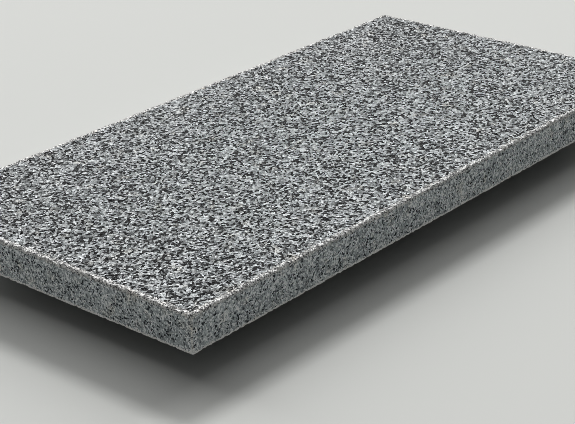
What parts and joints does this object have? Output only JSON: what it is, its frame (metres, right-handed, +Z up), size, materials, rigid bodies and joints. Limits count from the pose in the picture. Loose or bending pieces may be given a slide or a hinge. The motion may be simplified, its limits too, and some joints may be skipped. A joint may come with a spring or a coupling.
{
  "type": "granite tooling slab",
  "caption": "Oblong granite slab with a rough speckled working face and sawn sides, on round rubber feet, used as a firm base for tooling and stamping leather.",
  "frame": {"origin": "on the bench, under the middle of the slab", "axes": "+X along the slab's length, +Y across its width, +Z up through the working face"},
  "size_m": [0.4, 0.2, 0.033],
  "materials": {
    "granite": "speckled light and dark grey grain, rough on top and finely sawn on the sides",
    "black_rubber": "matt moulded rubber",
    "adhesive_foam": "matt foam tape"
  },
  "bodies": {
    "root": {"granite_slab": "granite", "foot_front_left": "black_rubber", "foot_front_right": "black_rubber", "foot_back_left": "black_rubber", "foot_back_right": "black_rubber", "adhesive_disc_front_left": "adhesive_foam", "adhesive_disc_front_right": "adhesive_foam", "adhesive_disc_back_left": "adhesive_foam", "adhesive_disc_back_right": "adhesive_foam"}
  },
  "joints": []
}
